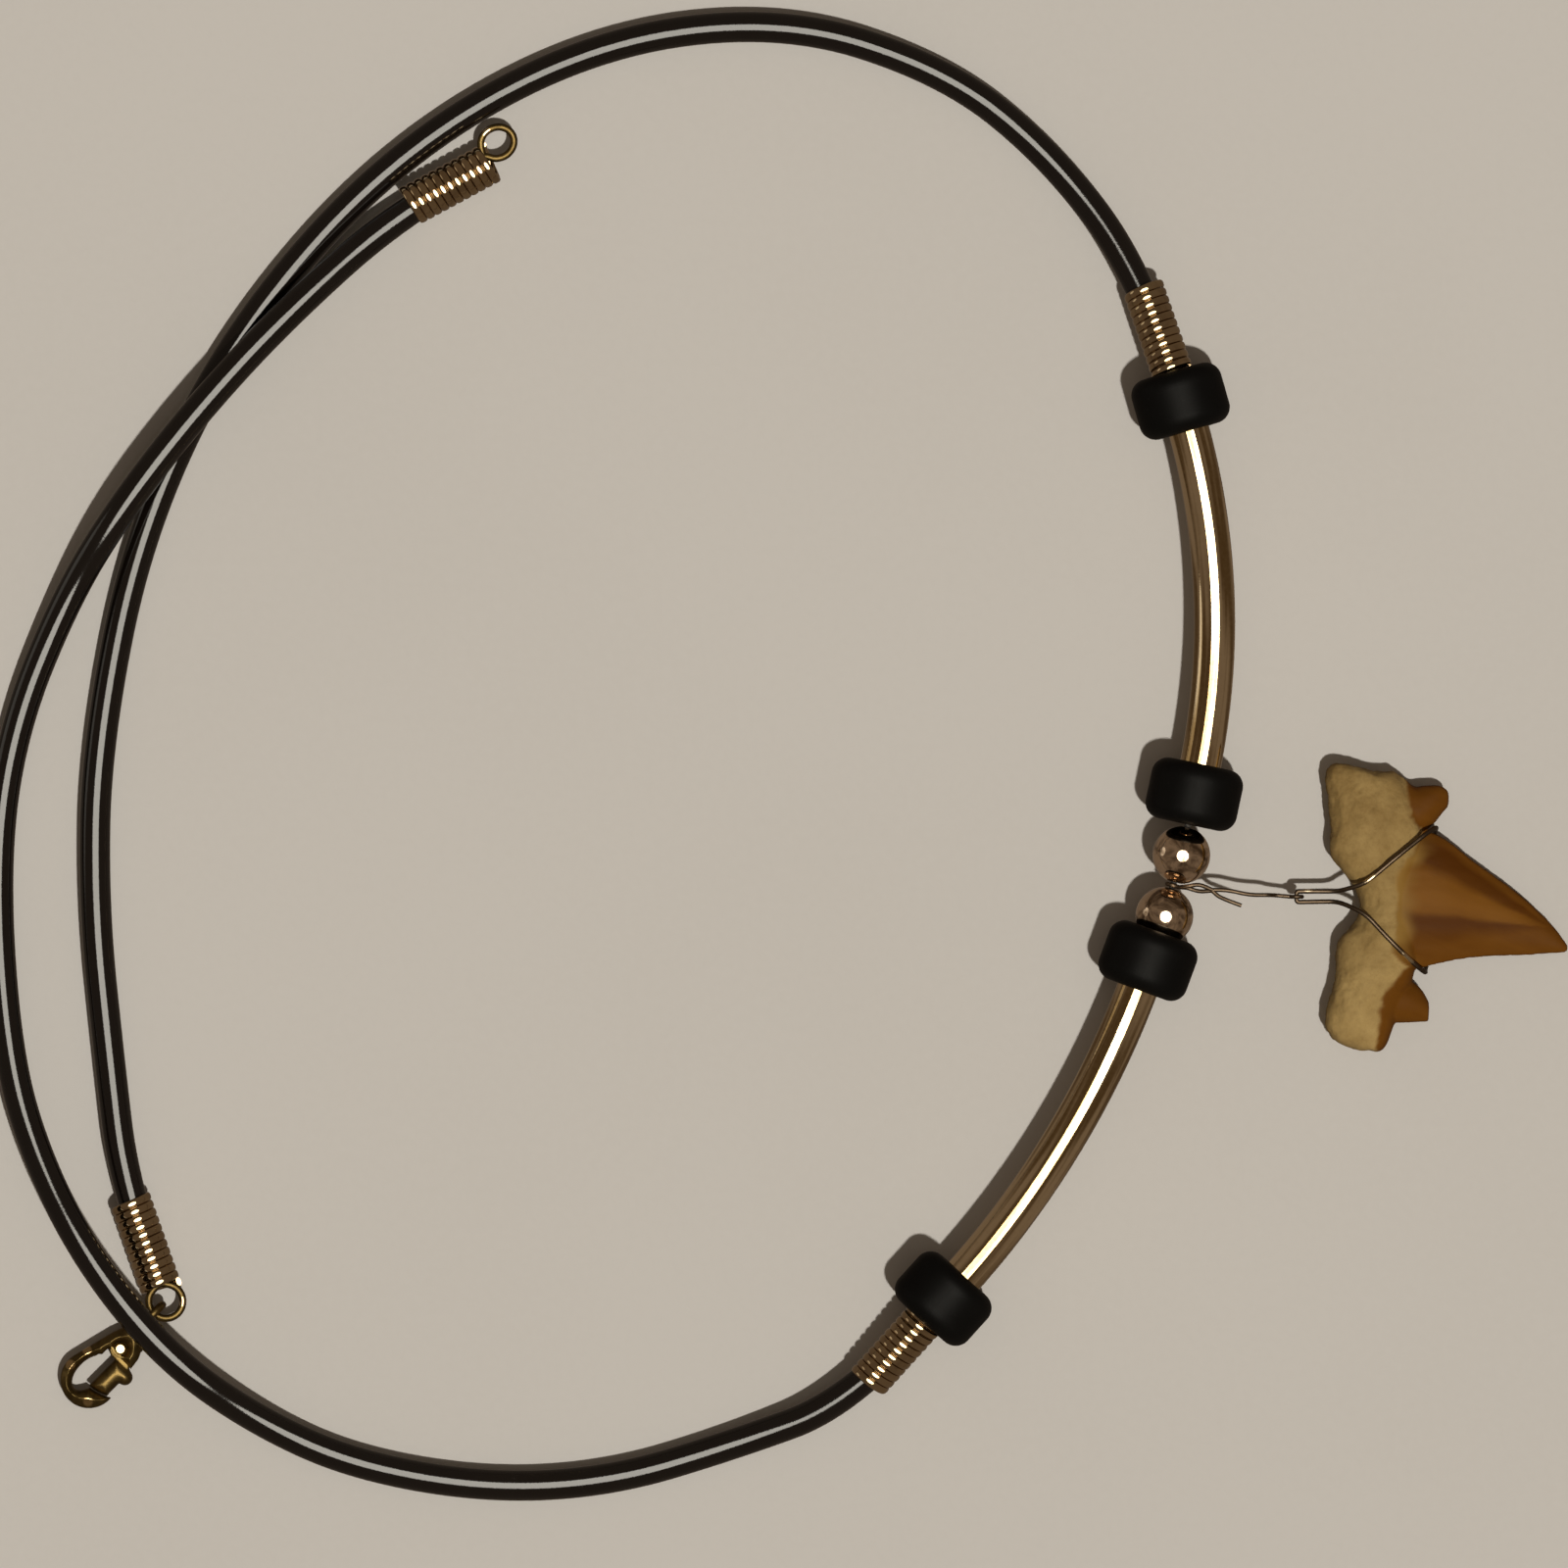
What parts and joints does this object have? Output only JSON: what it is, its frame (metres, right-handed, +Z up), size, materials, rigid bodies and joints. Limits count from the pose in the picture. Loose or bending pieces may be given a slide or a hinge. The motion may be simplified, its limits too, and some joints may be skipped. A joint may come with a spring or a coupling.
{
  "type": "shark tooth necklace",
  "caption": "Beaded cord necklace with a wired shark tooth, black barrel beads, curved metal tubes, coiled cord ends and a lobster clasp, lying open in its worn loop.",
  "frame": {"origin": "centre of the underside of the necklace as it lies, measured without the two cords, on the surface it lies on", "axes": "+X points from the loop's open clasp side to the tooth's tip, +Y along the string of beads from the lower tube to the upper one, +Z up from the surface"},
  "size_m": [0.1536, 0.1445, 0.009],
  "materials": {
    "cord": "smooth black, half gloss",
    "bead_black": "matte black",
    "bead_metal": "polished, darkened warm metal",
    "tube_metal": "polished warm metal",
    "coil_metal": "bright wound wire, darkened between its turns",
    "clasp_metal": "polished casting with dark edges",
    "wire_metal": "thin grey-brown wire",
    "tooth": "porous cream root and glossy amber-brown enamel",
    "thread": "dark twisted thread"
  },
  "bodies": {
    "necklace": {"bail_wire": "wire_metal", "clasp_body": "clasp_metal", "clasp_coil_end": "coil_metal", "clasp_rivet": "clasp_metal", "cord_lower": "cord", "cord_upper": "cord", "front_coil_end_lower": "coil_metal", "front_coil_end_upper": "coil_metal", "pony_bead_bottom": "bead_black", "pony_bead_lower": "bead_black", "pony_bead_top": "bead_black", "pony_bead_upper": "bead_black", "ring_coil_end": "coil_metal", "round_bead_lower": "bead_metal", "round_bead_upper": "bead_metal", "shark_tooth": "tooth", "stringing_thread": "thread", "tooth_wire": "wire_metal", "tube_lower": "tube_metal", "tube_upper": "tube_metal"},
    "lever": {"clasp_lever": "clasp_metal"}
  },
  "joints": [
    {"name": "clasp_lever_pivot", "type": "hinge", "parent": "necklace", "child": "lever", "pos_m": [-0.06706, -0.05688, 0.00145], "axis": [0, 0, 1], "range_deg": [-20, 0], "stiffness_Nm_per_rad": 0.004, "springref_deg": 5.73}
  ]
}
